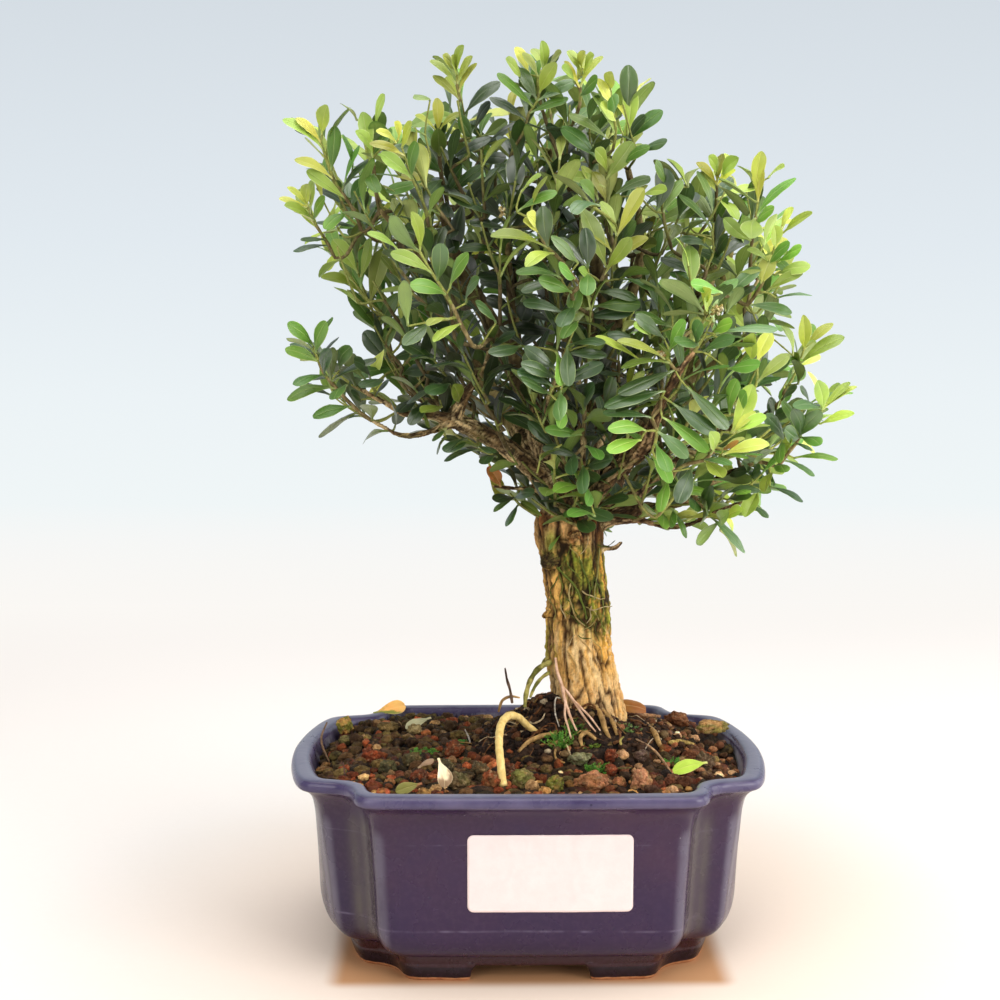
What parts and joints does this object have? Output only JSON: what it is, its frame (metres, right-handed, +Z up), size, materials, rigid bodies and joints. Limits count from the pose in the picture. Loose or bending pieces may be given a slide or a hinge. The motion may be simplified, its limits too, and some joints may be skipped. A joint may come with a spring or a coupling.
{
  "type": "potted boxwood bonsai tree",
  "caption": "Small broom-form boxwood bonsai: corky trunk, spreading limbs, dense spatula-leaf sprays, in a glazed rectangular tray pot with indented corners.",
  "frame": {"origin": "middle of the whole plant's outline seen from above, on the surface that the pot's feet stand on", "axes": "+X to the right along the pot's long side seen from its front, +Y to the back, +Z up along the trunk"},
  "size_m": [0.1478, 0.114, 0.2357],
  "materials": {
    "pot_glaze": "deep blue-violet satin glaze, bare orange clay at the feet",
    "drain_mesh": "black moulded mesh",
    "soil_grit": "olive and rust-brown grit granules with compost",
    "compost": "dark fibrous compost",
    "bark": "corky fissured bark, cream ridges, green moss film",
    "label_paper": "blank cream-white rounded label, slightly crumpled",
    "foliage": "small glossy spatula leaves, dark old and yellow-green young",
    "root_skin": "tan to brown thin root skin",
    "dry_stick": "dry brown twig",
    "moss": "bright green moss tuft",
    "dry_leaf": "fallen dry leaf, beige to orange-brown",
    "stones": "ochre to brown rough stones"
  },
  "bodies": {
    "root": {"pot": "pot_glaze", "drain_mesh_left": "drain_mesh", "drain_mesh_right": "drain_mesh", "soil_bed": "soil_grit", "root_ball": "compost", "trunk": "bark", "paper_label": "label_paper", "spray_low_left_twig": "foliage", "spray_right_low": "foliage", "spray_left_inner": "foliage", "spray_right_inner": "foliage", "spray_right_edge": "foliage", "spray_centre_mid": "foliage", "spray_left_low": "foliage", "spray_right_crown": "foliage", "spray_front_right": "foliage", "spray_left_crown": "foliage", "spray_top": "foliage", "spray_front_bud": "foliage", "spray_right_edge_low": "foliage", "spray_right_shoulder": "foliage", "spray_upper_left": "foliage", "spray_front_centre": "foliage", "spray_left_middle": "foliage", "spray_right_back_edge": "foliage", "spray_top_right": "foliage", "spray_left_long": "foliage", "spray_top_left": "foliage", "spray_right_low_front": "foliage", "spray_upper_right_inner": "foliage", "spray_front_left": "foliage", "spray_inner_left": "foliage", "spray_centre_low": "foliage", "spray_inner_right": "foliage", "spray_left_under": "foliage", "spray_back_right_top": "foliage", "spray_back_left_top": "foliage", "spray_back_left_low": "foliage", "spray_back_left": "foliage", "spray_back_right": "foliage", "spray_back_mid": "foliage", "spray_back_right_low": "foliage", "spray_back_top": "foliage", "spray_back_low": "foliage", "looped_root": "root_skin", "forked_root": "root_skin", "twisted_root": "root_skin", "brown_root": "root_skin", "thin_stick": "dry_stick", "moss_left": "moss", "moss_front": "moss", "fallen_leaf_beige": "dry_leaf", "fallen_leaf_green": "dry_leaf", "fallen_leaf_back": "dry_leaf", "fallen_leaf_brown": "dry_leaf", "dead_leaf": "dry_leaf", "stone_ochre": "stones", "stone_long": "stones", "stone_brown": "stones", "stone_round": "stones"}
  },
  "joints": []
}
